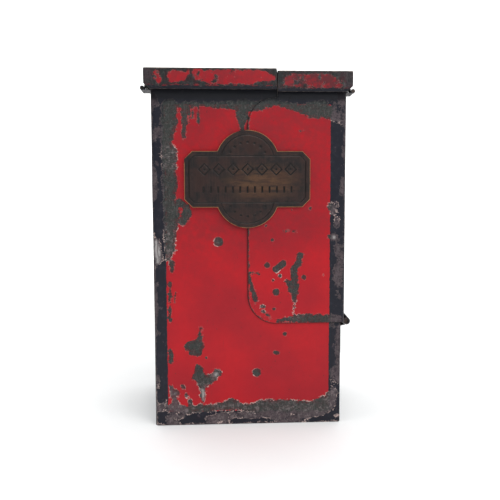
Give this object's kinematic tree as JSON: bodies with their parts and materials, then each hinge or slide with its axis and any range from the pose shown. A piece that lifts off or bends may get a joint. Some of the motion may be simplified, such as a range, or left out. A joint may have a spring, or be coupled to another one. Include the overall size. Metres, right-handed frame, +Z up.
{
  "type": "bucket fire extinguisher box",
  "caption": "Upright sheet-metal fire bucket box with a two-leaf hinged lid, a side chute that swings out for pouring, and a brass nameplate on the front.",
  "frame": {"origin": "middle of the bucket's base, on the surface it stands on", "axes": "+Z up, the front with the nameplate faces -Y, the chute is on the +X side"},
  "size_m": [0.136, 0.0936, 0.226],
  "materials": {
    "red_enamel": "red enamel with a black border, chipped to grey-green bare metal, worn along the edges",
    "lid_enamel": "red and black enamel, scratched, worn to grey metal along the edges",
    "black_enamel": "blue-black enamel, worn to brown-grey metal",
    "worn_steel": "bare tinned steel, dull with old rust",
    "hinge_steel": "dark rusted steel",
    "aged_brass": "dark brown patina with a rubbed golden middle and bright edges"
  },
  "bodies": {
    "bucket": {"front_left_wrap": "red_enamel", "rear_right_wrap": "black_enamel", "base_tray": "worn_steel", "mouth_wire": "worn_steel", "nameplate": "aged_brass", "nameplate_studs": "aged_brass", "chute_hinge_lower_leaf": "black_enamel", "chute_hinge_pin": "hinge_steel", "chute_hinge_lower_rivets": "hinge_steel", "left_lid_hinge_body_leaf": "black_enamel", "left_lid_hinge_pin": "hinge_steel"},
    "chute": {"chute_shell": "red_enamel", "chute_hinge_upper_leaf": "black_enamel", "chute_hinge_upper_rivets": "hinge_steel", "right_lid_hinge_chute_leaf": "black_enamel", "right_lid_hinge_pin": "hinge_steel"},
    "left_lid": {"left_lid_top": "lid_enamel", "left_lid_skirt": "lid_enamel", "left_lid_hinge_leaf": "black_enamel"},
    "right_lid": {"right_lid_top": "lid_enamel", "right_lid_skirt": "lid_enamel", "right_lid_hinge_leaf": "black_enamel"}
  },
  "joints": [
    {"name": "chute_hinge", "type": "hinge", "parent": "bucket", "child": "chute", "pos_m": [0.0646, 0, 0.0664], "axis": [0, 1, 0], "range_deg": [0, 60]},
    {"name": "left_lid_hinge", "type": "hinge", "parent": "bucket", "child": "left_lid", "pos_m": [-0.0655, 0, 0.2154], "axis": [0, -1, 0], "range_deg": [0, 200]},
    {"name": "right_lid_hinge", "type": "hinge", "parent": "chute", "child": "right_lid", "pos_m": [0.0677, 0, 0.2141], "axis": [0, 1, 0], "range_deg": [0, 200]}
  ]
}
